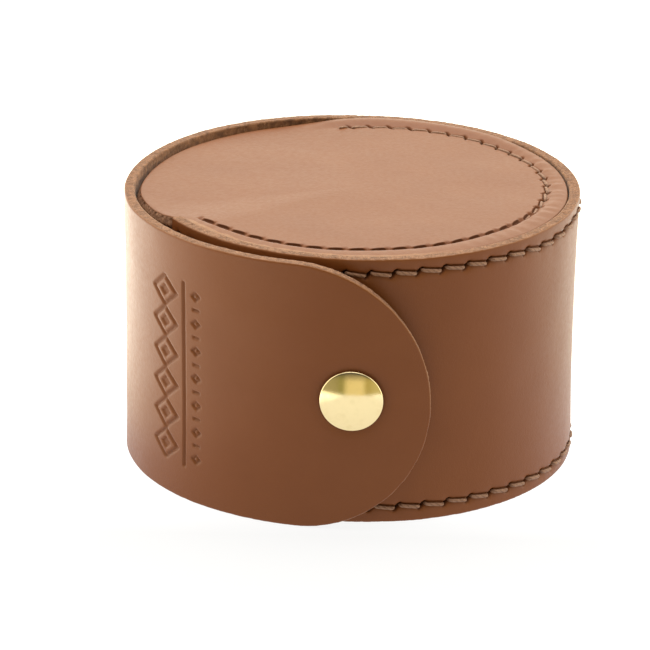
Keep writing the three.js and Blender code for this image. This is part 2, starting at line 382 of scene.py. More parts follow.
seams = {
    # where the stitches begin and end, how many there are, and the wandering height of their line
    "top": {
        "from": -57.5, "to": 185.0, "stitches": 37,
        "level": [
            [-60, 62.3], [3, 62.3], [16, 62.7], [45, 62.7], [55, 62.1], [66, 62.3], [78, 62.7],
            [185, 62.5],
        ],
    },
    "bottom": {
        "from": -57.0, "to": 185.0, "stitches": 36,
        "level": [
            [-60, 3.8], [5, 3.8], [31, 3.6], [51, 3.2], [66, 2.8], [80, 2.6], [120, 3.0], [185, 3.5],
        ],
    },
}
# how the stitches pull the leather in, and the painted shade in their slots, in the slit above the thread
# and under the thread
pull = {
    "dimple": 0.3, "dimpleSpread": 1.7, "bed": 0.25, "bedHalf": 0.75,
    "slot": 1.0, "slotHalf": (1.3, 0.36), "slotTurn": 47.0, "slotFrom": 0.55, "slotEase": 0.9,
    "slit": 0.4, "slitAside": 0.52, "slitHalf": 0.17, "slitFrom": 0.4, "slitEase": 0.6,
    "slitShade": 0.5, "underShade": 0.35, "underHalf": 0.6, "slant": 0.34, "wave": 0.05, "waveSize": 14,
    "endEase": 1.5,
}


def strapRadius(angle, height):
    # radius of the outer face: outer + lean*h - waist*(1 - h^2), h from -1 at the foot to 1 at the top
    h = (height - mid) / mid
    radius = course(strap["outer"], angle) + course(strap["lean"], angle) * h
    return radius - course(strap["waist"], angle) * (1 - h * h)


def fromHole(angle, seam):
    # degrees from the nearest stitch hole, the share of its stitch passed, how much seam is here
    pitch = (seam["to"] - seam["from"]) / seam["stitches"]
    steps = (angle - seam["from"]) / pitch
    nearest = np.clip(np.round(steps), 0, seam["stitches"])
    ease = pull["endEase"]
    inside = eased((angle - seam["from"] + 1) / ease) * eased((seam["to"] + 1 - angle) / ease)
    return (steps - nearest) * pitch, steps - np.floor(steps), inside


def slotShape(along, across, tilt):  # 1 inside an ellipse turned by the tilt, easing to 0 round it
    c, s = math.cos(math.radians(tilt)), math.sin(math.radians(tilt))
    length, width = pull["slotHalf"]
    reach = np.hypot((along * c + across * s) / length, (across * c - along * s) / width)
    return 1 - eased((reach - pull["slotFrom"]) / pull["slotEase"])


def wallRelief(angle, height):
    # inward depth and painted shade of the sewn strap: a dent and a slot at each hole, a bed under the
    # thread and a sharp slit above it. The slots, the slit and the bed under the thread are darkened as
    # painted shade.
    depth = pull["wave"] * ripple(np.stack([angle * mmPerDegree, height], -1), pull["waveSize"], 3)
    dark = np.zeros_like(angle)
    for seam in seams.values():
        degrees, share, inside = fromHole(angle, seam)
        along = degrees * math.radians(strap["outer"][0][1])
        across = height - course(seam["level"], angle)
        off = across - pull["slant"] * (1 - 2 * share)
        depth = depth + pull["dimple"] * np.exp(-(along**2 + across**2) / pull["dimpleSpread"]) * inside
        depth = depth + pull["bed"] * np.exp(-((off / pull["bedHalf"]) ** 2)) * inside
        slit = np.exp(-(((off - pull["slitAside"]) / pull["slitHalf"]) ** 2)) * inside
        slit = slit * eased((np.abs(along) - pull["slitFrom"]) / pull["slitEase"])
        slot = slotShape(along, across, pull["slotTurn"])
        depth = depth + pull["slit"] * slit + pull["slot"] * slot
        # painted shade under the thread, in the slit and in the slots
        under = pull["underShade"] * inside * np.exp(-((off / pull["underHalf"]) ** 2))
        dark = np.maximum(dark, np.maximum(np.maximum(slot, pull["slitShade"] * slit), under))
    return depth, dark


ornament = {
    "column": 307.5, "half": (4.6, 3.9), "links": 6, "from": 8.6, "to": 55.4, "stroke": 0.42,
    # size of a lozenge's outline and of the small one in it
    "outline": 0.93, "heart": 0.34, "outlineHalf": 0.2,
    "line": 314.3, "lineHalf": 0.24, "lineEase": 0.35, "marks": 318.2, "markHalf": (1.35, 1.05),
    "markCount": 13, "markEase": 0.3, "barHalf": (0.9, 0.15), "depth": 0.42, "tone": 0.15,
}


def ornamentDepth(angle, height):
    # a column of linked lozenges with a small lozenge in each, a thin line, and a row of little
    # lozenges and bars. Each outline is |x|/a + |y|/b = size, scaled to millimetres.
    o = ornament
    x = (angle - o["column"]) / degreesPerMm
    a, b = o["half"]
    share = (height - o["from"]) / (o["to"] - o["from"]) * o["links"]
    y = (share - np.floor(share) - 0.5) * 2 * b
    ruler = np.abs(x) / a + np.abs(y) / b
    toMm = a * b / math.hypot(a, b)
    inColumn = (share >= 0) & (share <= o["links"])
    ring = 1 - eased((np.abs(ruler - o["outline"]) * toMm - o["outlineHalf"]) / o["stroke"])
    heart = 1 - eased(((ruler - o["heart"]) * toMm + 0.1) / o["stroke"])
    depth = np.where(inColumn, np.maximum(ring, heart), 0)
    between = np.clip((np.minimum(height - o["from"], o["to"] - height) + 0.3) / 0.4, 0, 1)
    line = 1 - eased((np.abs(angle - o["line"]) / degreesPerMm - o["lineHalf"]) / o["lineEase"])
    depth = np.maximum(depth, line * between)
    row = o["to"] - o["from"] - 2
    small = (height - o["from"] - 1) / row * o["markCount"]
    v = (small - np.floor(small) - 0.5) * row / o["markCount"]
    u = (angle - o["marks"]) / degreesPerMm
    p, q = o["markHalf"]
    little = 1 - eased(((np.abs(np.abs(u) / p + np.abs(v) / q - 0.8)) * 0.8 - 0.12) / o["markEase"])
    odd = np.floor(small) % 2 == 1
    barLength, barWidth = o["barHalf"]
    bar = 1 - eased((np.abs(v) - barWidth) / o["markEase"])
    bar = bar * (1 - eased((np.abs(u) - barLength) / o["markEase"]))
    inRow = (small >= 0) & (small <= o["markCount"])
    return np.maximum(depth, np.where(inRow, np.where(odd, bar, little), 0)) * o["depth"]


capMiddle = (capLow + capHigh) / 2
studAngle = math.degrees(math.atan2(capMiddle[0], -capMiddle[1])) % 360
studHeight = capMiddle[2]
capRadius = (capHigh[2] - capLow[2]) / 2
# the flap's own waves, and the dent and painted shade round the cap
flap = {"wave": 0.06, "waveSize": 16, "capDent": 0.25, "capDentReach": 1.6, "shade": 0.35, "shadeHalf": 0.5}


def flapRelief(angle, height):  # inward depth and darkness of the flap
    depth = flap["wave"] * ripple(np.stack([angle * mmPerDegree, height], -1), flap["waveSize"], 5)
    stamped = ornamentDepth(angle, height)
    fromStud = np.hypot((angle - studAngle) / degreesPerMm, height - studHeight)
    around = np.exp(-((np.maximum(fromStud - capRadius, 0) / flap["capDentReach"]) ** 2))
    # painted shade in a ring round the stud's cap
    shade = flap["shade"] * np.exp(-((fromStud - capRadius) / flap["shadeHalf"]) ** 2)
    dark = stamped / ornament["depth"] * ornament["tone"] + shade
    return depth + stamped + flap["capDent"] * around, dark


quarter = np.radians([22.5, 45, 67.5, 90])  # steps of a rounded corner


def strapPiece(name, stations, heights, relief):
    # Each station is (angle, turn) with turn in degrees round the half circle of the tip, 0 on the
    # straight. A closed section runs up the outer face, over the top edge, down the inner face and
    # round the foot. A point inset i from the outline lies (half - i)*(sin turn, u*cos turn) from
    # the station along the strap and in height, u from -1 to 1.
    thick, soft, half = strap["thick"], strap["edgeRound"], strap["tipRadius"]
    rows = (np.asarray(heights) - mid) / (half - soft)
    cornerInset, cornerDepth = soft * (1 - np.sin(quarter)), soft * (1 - np.cos(quarter))
    flat = np.linspace(soft, thick - soft, 5)[1:-1]
    overInset = np.concatenate([cornerInset, 0 * flat, cornerInset[::-1]])
    overDepth = np.concatenate([cornerDepth, flat, thick - cornerDepth[::-1]])
    inner = np.linspace(1, -1, 20)
    one = np.ones(len(overInset))
    u = np.concatenate([rows, one, inner, -one])
    inset = np.concatenate([0 * rows + soft, overInset, 0 * inner + soft, overInset[::-1]])
    down = np.concatenate([0 * rows, overDepth, 0 * inner + thick, overDepth[::-1]])
    isEdge = np.concatenate([0 * rows, one, 0 * inner, one]) > 0
    onOuter = np.concatenate([0 * rows + 1, 0 * one, 0 * inner, 0 * one])
    base, bend = np.array(stations, float).T
    bend = np.radians(bend)[:, None]
    onTip = np.cos(bend) < 1e-6
    reach = half - inset[None, :]
    angle = base[:, None] + reach * np.sin(bend) * degreesPerMm
    height = mid + u * reach * np.cos(bend) - strap["tipDrop"] * np.sin(bend) ** 2
    depth, dark = relief(angle, height)
    edgeFade = 1 - eased(down / cutEdge["fade"])[None, :] * (1 - onOuter)
    # the roughness of the cut edge dies out towards the cuts where two pieces meet
    cuts = np.array([strap["cutWall"], strap["cutSide"], strap["cutFront"]])
    calm = eased(np.abs(angle[..., None] - cuts).min(-1) / cutEdge["calm"])
    onFace = np.stack([angle, height], -1)
    inEdge = np.stack([angle, height, np.broadcast_to(down, angle.shape)], -1)
    grain = cutEdge["grain"] * ripple(inEdge, cutEdge["grainSize"], 11)
    grain = (grain + cutEdge["wave"] * ripple(onFace, cutEdge["waveSize"], 12)) * calm
    fromFace = np.clip(np.minimum(down, thick - down) / cutEdge["rise"], 0, 1)
    rough = np.where(isEdge, fromFace, 0)[None, :] * grain
    radius = strapRadius(angle, height) - down - depth * edgeFade
    fibres = ripple(onFace, cutEdge["fibreSize"], 14) * calm
    radius = radius + np.where(down >= thick - 0.01, cutEdge["fibres"], 0)[None, :] * fibres
    height = np.where(onTip, height, height + rough * np.sign(u) * np.cos(bend))
    angle = angle + rough * np.sin(bend) * degreesPerMm
    points = place(angle, radius, height)
    count, around = angle.shape
    quads = gridFaces(count, around, True)
    column = np.arange(around)
    middle = (down[column] + down[(column + 1) % around]) / 2
    face = np.where(middle > thick - cutEdge["fleshFrom"], fleshFace, rawFace)
    face = np.where(middle < cutEdge["grainTo"], grainFace, face)
    ends = [(column[::-1], rawFace)]
    if not onTip[-1]:
        ends.append((column + (count - 1) * around, rawFace))
    # on the upper part of the tip the rounded corner is raw too
    bare = np.sin(bend) * eased((u + 0.6) / 0.5)[None, :]
    past = down[None, :] - cutEdge["rawFrom"] + cutEdge["bareFrom"] * bare
    raw = eased(past / (cutEdge["rawEase"] - cutEdge["bareEase"] * bare)) * isEdge[None, :]
    # the stamped ornament and painted shade, on the outer face only
    marks = {"pressAndShade": dark * onOuter[None, :], "raw": raw}
    return buildMesh(name, points, quads, leather, np.tile(face, count - 1), marks, ends)


def straight(*stretches):
    return [(a, 0.0) for a in spans(*stretches)]


low, high = strap["edgeRound"], strap["height"] - strap["edgeRound"]
sewnRows = spans((low, 1.0, 1), (1.0, 5.8, 24), (5.8, 60.2, 16), (60.2, 64.8, 23), (64.8, high, 1))
flapRows = spans((low, high, 60))
tipRows = spans((low, high, 210))
cutWall, cutSide, cutFront = strap["cutWall"], strap["cutSide"], strap["cutFront"]
strapWall = strapPiece("strap_wall", straight((strap["start"], cutWall, 840)), sewnRows, wallRelief)
flapRoot = strapPiece("strap_flap_root", straight((cutWall, cutSide, 60)), flapRows, flapRelief)
flapSide = strapPiece("strap_flap_side", straight((cutSide, cutFront, 70)), flapRows, flapRelief)
roundFrom = strap["tip"] - strap["tipRadius"] * degreesPerMm
# the stations are close together where the ornament is
frontStations = straight((cutFront, 301, 55), (301, 321, 66), (321, roundFrom, 40))
frontStations += [(roundFrom, turn) for turn in np.linspace(0, 90, 80)[1:]]
flapFront = strapPiece("strap_flap_front", frontStations, tipRows, flapRelief)
print("strap made")

topHigh = boxOf("top_disc")[1]
disc = {
    "thick": 2.5, "edgeRound": 0.35, "face": topHigh[2], "under": 0.6,
    # how far the field dips towards the mouth, and where the dip begins and ends
    "dip": 0.9, "dipFrom": 176, "dipFromEase": 30, "dipTo": 310, "dipToEase": 24, "dipRadius": 50,
    # depth, size and seed of the field's waves
    "waves": [(0.10, 38, 21), (0.02, 7, 22)],
    # where the sewn part ends, and the outline's radius beyond it
    "sewnTo": 186, "mouth": [
        [186, 49.2], [200, 49.8], [218, 50.8], [240, 51.9], [262, 53.2], [276, 54], [288, 53],
        [294, 52], [299.6, 50.4],
    ],
    # how far the rim stays inside the strap's outer face
    "margin": [[-60, 2.82], [78, 2.82], [90, 3.05], [125, 3.05], [138, 2.82], [187, 2.82]],
    # radius of the inner seam, which wanders
    "seam": [
        [-60, 45.6], [-53, 45.3], [-46, 44.8], [-33, 44.6], [-14, 44.3], [0, 43.8], [20, 43.3],
        [40, 42.9], [53, 43], [66, 43.3], [78, 43.5], [92, 44], [106, 44.3], [125, 44.2],
        [145, 44.3], [160, 44.2], [178, 43.7], [196, 43.7],
    ],
    # height of the rim's outer edge above the field, how far the rim swells between, how deep the
    # step at the seam is, and how high the thread lies
    "rimEdge": [
        [-60, -0.1], [0, 0], [60, 0.05], [90, 0.0], [110, 0.1], [130, 0.45], [150, 0.65],
        [188, 0.65], [196, 0.4],
    ],
    "pillow": [[-60, 0.1], [0, 0.15], [60, 0.25], [100, 0.22], [140, 0.2], [190, 0.15]],
    "step": [[-60, 0.5], [65, 0.5], [95, 0.35], [125, 0.15], [190, 0.1]],
    "threadRise": [[-60, -0.85], [56, -0.85], [84, -0.25], [110, -0.1], [190, -0.05]],
    "slant": 0.3, "zone": 1.7,
    # the rim's creases, deepest round one angle, and the reach of its raw edge at the front
    "crease": 0.1, "creaseSize": 3.2, "creaseAt": 92, "creaseSpread": 42, "creaseLeast": 0.35,
    "rawReach": 1.25, "rawWander": 0.3,
    # the cut side's unevenness, and its least gap to the strap at the mouth
    "fray": 0.07, "fraySize": 1.5, "gap": 0.35, "flare": 0.9,
    # the margin below which the rim laps over the strap, and the height of its shelf on the strap
    "lapFrom": 2.82, "lapEase": 0.2, "shelf": 0.03,
}
# the line of the seam on a disc: its step is soft at the holes and steep beside the stitches. Its painted
# shade, for the groove's shadowed wall beside the thread, is a lens at the front, a line at the side and
# two lines at the back.
trough = {
    "softFrom": 1.1, "softEase": 1.2, "steepFrom": 0.6, "steepEase": 0.24, "fade": 2.0, "frontFade": 0.7,
    "holeHalf": 0.35, "holeEase": 0.6, "frontSlot": 0.1, "lineShade": 0.7, "lineAside": 0.5,
    "lineHalf": 0.2, "outerHalf": 0.25, "lensShade": 0.74, "lensAside": 0.05, "lensHalf": 0.62,
    "lensEase": 0.25, "frontTo": 60, "backFrom": 95, "turnEase": 25,
}


def discEdge(angle):  # outline radius: against the strap where sewn, bulging where the mouth is
    turned = np.where(angle < strap["start"] - 0.2, angle + 360, angle)
    onStrap = np.clip(angle, strap["start"], disc["sewnTo"])
    sewn = strapRadius(onStrap, strap["height"]) - course(disc["margin"], turned)
    return np.where(turned < disc["sewnTo"], sewn, course(disc["mouth"], turned))


def seamRadius(angle):  # radius of the inner seam, steady where there is none
    turned = np.where(angle < -60, angle + 360, angle)
    inMouth = (turned > 190) & (turned < 300)
    onSeam = course(disc["seam"], np.where(turned > 290, turned - 360, turned))
    return np.where(inMouth, 44.2, onSeam)


def discTop(angle, radius, seam):
    # Height of the upper face, its painted shade at the seam, and how raw it is. The field is
    # nearly flat and dips towards the mouth. At the seam it steps down under the thread by
    # step*fade(across).
    # The rim outside rises by rimEdge*eased(t) + (pillow + crease*lines)*sin(pi*t), t from 0 to 1 across
    # it.
    edge, line = discEdge(angle), seamRadius(angle)
    turned = np.where(angle < -62, angle + 360, angle)
    degrees, share, inside = fromHole(turned, seam)
    # 1 on the sewn part, easing to 0 on the mouth
    sewn = eased((turned + 66) / 14) * eased((seam["to"] + 20 - turned) / 20)
    flat = place(angle, radius, 0 * angle)[..., :2]
    around = np.mod(angle, 360)
    dip = disc["dip"] * eased((around - disc["dipFrom"]) / disc["dipFromEase"])
    dip = dip * eased((disc["dipTo"] - around) / disc["dipToEase"]) * eased(radius / disc["dipRadius"])
    height = disc["face"] - dip
    for depth, size, seed in disc["waves"]:
        height = height + depth * ripple(flat, size, seed)
    across = radius - line
    t = np.clip(across / np.maximum(edge - line, 0.1), 0, 1)
    swell = course(disc["rimEdge"], turned) * eased(t / 0.8)
    swell = swell + course(disc["pillow"], turned) * np.sin(np.pi * t)
    least = disc["creaseLeast"]
    right = least + (1 - least) * np.exp(-(((turned - disc["creaseAt"]) / disc["creaseSpread"]) ** 2))
    lines = ripple(np.stack([turned * 0.8, radius * 0.06], -1), disc["creaseSize"], 23)
    swell = swell + disc["crease"] * lines * right * np.sin(np.pi * t)
    height = height + swell * sewn * (across > 0)
    along = degrees * line * math.pi / 180
    off = across - disc["slant"] * (1 - 2 * share)
    beside = eased((np.abs(along) - trough["holeHalf"]) / trough["holeEase"])
    near = 1 - eased((turned - trough["frontTo"]) / trough["turnEase"])
    far = eased((turned - trough["backFrom"]) / trough["turnEase"])
    step = eased((off + trough["softFrom"]) / trough["softEase"])
    step = step + (eased((off + trough["steepFrom"]) / trough["steepEase"]) - step) * beside
    fade = trough["fade"] + (trough["frontFade"] - trough["fade"]) * near
    step = step * np.exp(-((np.maximum(across - 0.1, 0) / fade) ** 2))
    height = height - course(disc["step"], turned) * step * inside
    # painted shade: the slots, a line beside the thread and a lens-shaped dash at the front, where the
    # groove's wall lies in shadow
    slot = slotShape(along, across, pull["slotTurn"]) * (1 + (trough["frontSlot"] - 1) * near)
    height = height - pull["slot"] * slot
    innerLine = np.exp(-(((off + trough["lineAside"]) / trough["lineHalf"]) ** 2))
    outerLine = np.exp(-(((off - trough["lineAside"]) / trough["outerHalf"]) ** 2))
    lines = trough["lineShade"] * beside * (innerLine + far * outerLine)
    past = np.abs(off + trough["lensAside"]) - trough["lensHalf"] * np.sin(np.pi * share)
    lens = trough["lensShade"] * beside * (1 - eased(past / trough["lensEase"]))
    dark = np.maximum(slot, (lines + (lens - lines) * near) * inside)
    # at the front the cut edge is turned up and shows along the rim
    front = eased((turned + 60) / 4) * eased((32 - turned) / 22)
    wander = ripple(np.stack([angle * mmPerDegree, 0 * angle], -1), 6, 24)
    fromRaw = radius - edge + disc["rawReach"] + disc["rawWander"] * wander
    return height, dark, eased(fromRaw / 0.2) * front


def discPiece(name, seam, flip):
    # rings of a polar grid: field, seam, rim, a quarter round, the cut side and the underside
    angles = np.linspace(-180, 180, 900, endpoint=False)
    edge, line = discEdge(angles), seamRadius(angles)
    soft, wide = disc["edgeRound"], disc["zone"]
    inner = spans((0, 0.5, 5), (0.5, 1, 9))
    zone = spans((-wide, -1.1, 2), (-1.1, 0.1, 12), (0.1, wide, 8))[1:]
    outer = spans((0, 1, 12))[1:]
    radii = [(line - wide) * f for f in inner] + [line + z for z in zone]
    radii += [(line + wide) * (1 - f) + (edge - soft) * f for f in outer]
    radius = np.array(radii)
    angle = np.broadcast_to(angles, radius.shape)
    height, dark, raw = discTop(angle, radius, seam)
    rimRadius = edge - soft * (1 - np.sin(quarter[:, None]))
    rimHeight = height[-1] - soft * (1 - np.cos(quarter[:, None]))
    bottom = disc["face"] - disc["thick"] - disc["under"]
    side = np.array([0, 0.33, 0.66, 1])[:, None]
    fray = disc["fray"] * ripple(np.stack([angles, 0 * angles], -1), disc["fraySize"], 31)
    turned = np.where(angles < -60.2, angles + 360, angles)
    inMouth = eased((turned - 190) / 20) * eased((300.5 - turned) / 3)
    reach = strapRadius(turned, bottom) - strap["thick"] - disc["gap"] - edge
    reach = np.clip(reach, 0, disc["flare"]) * inMouth
    # where the rim laps over the strap, its side starts with a shelf on the strap's edge
    lap = np.clip(disc["lapFrom"] - course(disc["margin"], turned), 0, 1) * (turned < 187)
    onStrap = strap["height"] + disc["shelf"] - rimHeight[-1]
    shelf = rimHeight[-1] + onStrap * np.clip(lap / disc["lapEase"], 0, 1)
    sideRadius = edge + fray * (lap == 0) + reach * eased(side * 1.1) - lap
    sideRadius = np.concatenate([edge[None, :], sideRadius])
    sideHeight = shelf * (1 - side) + (bottom + 0.3) * side
    sideHeight = np.concatenate([shelf[None, :], sideHeight])
    underShare = np.array([1, 0.75, 0.4, 0])[:, None]
    underRadius = (edge + reach - 0.4) * underShare
    underHeight = bottom + 0 * underRadius
    radius = np.concatenate([radius, rimRadius, sideRadius, underRadius])
    height = np.concatenate([height, rimHeight, sideHeight, underHeight])
    top, corner = len(dark), len(rimRadius)
    rest = len(radius) - top
    dark = np.concatenate([dark, np.zeros((rest, len(angles)))])
    raw = np.concatenate([raw, np.repeat(raw[-1:], corner, 0), np.ones((rest - corner, len(angles)))])
    if flip:
        height = strap["height"] - height
    points = place(np.broadcast_to(angles, radius.shape), radius, height)
    quads = gridFaces(len(radius), len(angles), True)
    ring = np.repeat(np.arange(len(radius) - 1), len(angles))
    surface = np.where(ring < top + corner + len(sideRadius), rawFace, fleshFace)
    surface = np.where(ring < top + corner // 2, grainFace, surface)
    # the disc's dark mark is painted shade in its seam's slots and beside its thread
    return buildMesh(name, points, quads, leather, surface, {"pressAndShade": dark, "raw": raw})


topDisc = discPiece("disc_top", seams["top"], False)
bottomDisc = discPiece("disc_bottom", seams["bottom"], True)
print("discs made")

stitch = {
    "radius": 0.43, "flat": 0.85, "rise": 0.14, "sunk": 1.1, "dive": 8, "gap": 0.08,
    "innerRadius": 0.38, "twists": 1.6, "ply": 0.035,
    # how much one stitch differs from another in lift, place, twist and thickness
    "liftBy": 0.05, "asideBy": 0.06, "twistBy": 3, "thickBy": 0.06,
    # where and how strongly the stitch's ends take painted shade as they dive into the holes
    "buriedFrom": 0.82, "buriedEase": 0.15, "holeShadeTone": 0.8,
}


def stitches(name, seam, surfaceAt, radius, rise, slant, extra=()):
    # Each stitch leaves one hole, lies over the leather and dives into the next: its lift is
    # rise - (rise + sunk)*|2t - 1|^dive. Its section is a flattened circle with two turning lobes.
    pitch = (seam["to"] - seam["from"]) / seam["stitches"]
    starts = np.arange(seam["stitches"]) * pitch + seam["from"]
    lengths = np.full(len(starts), pitch)
    for start, length in extra:
        starts, lengths = np.append(starts, start), np.append(lengths, length)
    pick = np.random.default_rng(41)
    jitter = pick.uniform(-1, 1, (4, len(starts), 1, 1))
    t = (0.5 - 0.5 * np.cos(np.linspace(0, np.pi, 17)))[None, :, None]
    around = np.linspace(0, 2 * np.pi, 12, endpoint=False)[None, None, :]
    span = lengths[:, None, None]
    angle = starts[:, None, None] + span * (stitch["gap"] + (1 - 2 * stitch["gap"]) * t)
    end = np.abs(2 * t - 1)
    drop, dive = rise + stitch["sunk"], stitch["dive"]
    lift = rise + stitch["liftBy"] * jitter[0] - drop * end**dive
    sideways = slant * (1 - 2 * t) + stitch["asideBy"] * jitter[1]
    fall = -dive * drop * end ** (dive - 1) * 2 * np.sign(2 * t - 1) / (span * math.radians(50))
    lean = np.hypot(1, fall)
    phase = 2 * np.pi * stitch["twists"] * t + stitch["twistBy"] * jitter[2]
    ply = np.cos(2 * (around + phase))
    thick = radius * (1 + stitch["thickBy"] * jitter[3]) * np.sqrt(np.clip(1 - end**14, 0, 1))
    section = thick * (1 + stitch["ply"] * ply)
    outward = section * np.cos(around) * stitch["flat"]
    angle = angle - outward * fall / lean * degreesPerMm
    points = surfaceAt(angle, sideways + section * np.sin(around), lift + outward / lean)
    count, rings, sides = points.shape[:3]
    quads = gridFaces(rings, sides, True)[None] + np.arange(count)[:, None, None] * rings * sides
    # painted shade on the ends of each stitch, where it dives into its hole
    holeShade = stitch["holeShadeTone"] * eased((end - stitch["buriedFrom"]) / stitch["buriedEase"])
    marks = {"ply": 0.5 + 0.5 * ply, "holeShade": holeShade}
    marks = {key: np.broadcast_to(value, points.shape[:3]) for key, value in marks.items()}
    return buildMesh(name, points, quads.reshape(-1, 4), [threadMaterial], None, marks)


def onWall(seam):  # a place beside the seam's line on the strap
    def surfaceAt(angle, sideways, lift):
        level = course(seam["level"], angle)
        return place(angle, strapRadius(angle, level) + lift, level + sideways)
    return surfaceAt


def onDisc(flip):  # a place beside the seam's line on a disc
    def surfaceAt(angle, sideways, lift):
        height = disc["face"] + course(disc["threadRise"], angle) + lift
        return place(angle, seamRadius(angle) + sideways, strap["height"] - height if flip else height)
    return surfaceAt


outerShape = (stitch["radius"], stitch["rise"], pull["slant"])
innerShape = (stitch["innerRadius"], 0.0, disc["slant"])
top, bottom = seams["top"], seams["bottom"]
tail = [(185.3, 4.0), (181.5, 3.4)]  # start and length of the backstitches that end the top seam
topOuter = stitches("stitches_wall_top", top, onWall(top), *outerShape)
bottomOuter = stitches("stitches_wall_bottom", bottom, onWall(bottom), *outerShape)
topInner = stitches("stitches_disc_top", top, onDisc(False), *innerShape, tail)
bottomInner = stitches("stitches_disc_bottom", bottom, onDisc(True), *innerShape)
print("stitches made")

socketLow, socketHigh = boxOf("stud_socket")
studLow, studHigh = boxOf("male_stud")
eyeletLow, eyeletHigh = boxOf("stud_eyelet")


def turnedPiece(name, profile, material, sides=96):
    # a profile of (radius, distance from the drum's axis) turned about the stud's own axis
    radius, distance = np.array(profile, float).T
    turn = np.linspace(0, 2 * np.pi, sides, endpoint=False)[None, :]
    a = math.radians(studAngle)
    along = np.array([math.cos(a), math.sin(a), 0])
    outward = np.array([math.sin(a), -math.cos(a), 0])
    up = np.array([0, 0, 1])
    r, d = radius[:, None, None], distance[:, None, None]
    points = d * outward + r * (np.cos(turn)[..., None] * along + np.sin(turn)[..., None] * up)
    points = points + studHeight * up
    return buildMesh(name, points, gridFaces(len(radius), sides, True), [material])


def arc(centre, size, fromDegrees, toDegrees, steps):  # points of a circle: centre + size*(cos, sin)
    a = np.radians(np.linspace(fromDegrees, toDegrees, steps + 1))
    return np.stack([centre[0] + size * np.cos(a), centre[1] + size * np.sin(a)], -1).tolist()


flapFace = float(strapRadius(np.array(studAngle), studHeight))
flapInside = flapFace - strap["thick"]
wallFace = float(strapRadius(np.array(studAngle - 360), studHeight))
wallInside = wallFace - strap["thick"]

cap = {"lip": 0.42, "rise": 1.55, "post": 1.9, "sunk": 0.1, "rivet": 0.4}


def studCap():  # a dome on a rolled lip, hollow post behind
    foot = flapFace - cap["sunk"]
    lipCentre = (capRadius - cap["lip"], foot + cap["lip"])
    edge = arc(lipCentre, cap["lip"], -90, 68, 9)
    shoulder, base = edge[-1]
    share = np.linspace(1, 0, 26)[1:]
    dome = [[shoulder * s, base + cap["rise"] * (1 - s**2.1)] for s in share]
    rivet = flapInside - cap["rivet"]
    post = [[0, rivet], [cap["post"], rivet], [cap["post"], foot]]
    return turnedPiece("stud_cap_shell", post + edge + dome, brass)


socketCup = {"mouth": 3.6, "rounded": 0.35, "seat": 0.3, "overPost": 0.4}


def socketRing():  # pressed cup: rolled lip towards the drum and a seat round the post
    rear, near = flapInside, -socketHigh[1]
    outer = (socketHigh[2] - socketLow[2]) / 2
    mouth, rounded = socketCup["mouth"], socketCup["rounded"]
    seat, hole = rear + socketCup["seat"], cap["post"] - socketCup["overPost"]
    profile = [[mouth, rear], [mouth, near + rounded]]
    profile += arc((mouth + rounded, near + rounded), rounded, 180, 270, 5)
    profile += arc((outer - rounded, near + rounded), rounded, 270, 360, 5)
    profile += [[outer, seat], [hole, seat], [hole, rear], [mouth, rear]]
    return turnedPiece("stud_socket_ring", profile, brass)


head = {"radius": 0.78, "from": 1.35}


def maleStud():  # flange, neck and rounded head
    top = -studLow[1]
    flange = (studHigh[2] - studLow[2]) / 2
    under, over = wallFace - 0.1, -studHigh[1] + 0.4
    profile = [[0, under], [flange - 0.2, under], [flange, under + 0.2], [flange, over - 0.15]]
    profile += [[flange - 0.15, over], [2.3, over + 0.02], [1.85, over + 0.15], [1.72, over + 0.35]]
    profile += arc((head["from"], top - head["radius"]), head["radius"], -28, 90, 10) + [[0, top]]
    return turnedPiece("stud_post", profile, brass)


eyeletShape = {"hole": 0.5, "inRound": 0.35, "outRound": 0.3}


def eyelet():  # flat-headed eyelet inside the strap, hole in its middle
    inner, under = -eyeletHigh[1], wallInside + 0.05
    wide = (eyeletHigh[2] - eyeletLow[2]) / 2
    hole, inRound, outRound = (eyeletShape[key] for key in ("hole", "inRound", "outRound"))
    profile = [[hole, under], [hole, inner + inRound]]
    profile += arc((hole + inRound, inner + inRound), inRound, 180, 270, 4)
    profile += arc((wide - outRound, inner + outRound), outRound, 270, 360, 4)
    profile += [[wide, under], [hole, under]]
    return turnedPiece("stud_eyelet_head", profile, brass)


def springRing():  # ring of wire in the socket's mouth
    springLow, springHigh = boxOf("socket_spring")
    wire = 0.3
    middle = wire - springHigh[1]
    ring = (springHigh[2] - springLow[2]) / 2 - wire
    return turnedPiece("socket_spring_wire", arc((ring, middle), wire, 0, 360, 12), steel)


capShell, socket, studPost = studCap(), socketRing(), maleStud()
eyeletHead, spring = eyelet(), springRing()
print("press stud made")


def bendOver(piece):
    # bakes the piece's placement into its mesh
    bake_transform(piece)


bendOver(flapRoot)
bendOver(flapSide)
bendOver(flapFront)
threads = (topOuter, bottomOuter, topInner, bottomInner)
for piece in (strapWall, topDisc, bottomDisc, *threads, studPost, eyeletHead):
    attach(piece, "case_body")
for piece in (capShell, socket, spring):
    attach(piece, "flap_end")

standsFor = {
    "case_leather": {
        "wall_band": strapWall, "flap_root": flapRoot, "flap_side": flapSide,
        "flap_front": flapFront, "top_disc": topDisc, "bottom_disc": bottomDisc,
    },
    "thread": {
        "top_seam_outer_thread": topOuter, "bottom_seam_outer_thread": bottomOuter,
        "top_seam_inner_thread": topInner, "bottom_seam_inner_thread": bottomInner,
    },
    "stud_brass": {
        "stud_cap": capShell, "stud_socket": socket, "male_stud": studPost, "stud_eyelet": eyeletHead,
    },
    "spring_steel": {"socket_spring": spring},
}
for slotName, pieces in standsFor.items():
    for cadNode, piece in pieces.items():
        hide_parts(cadNode)

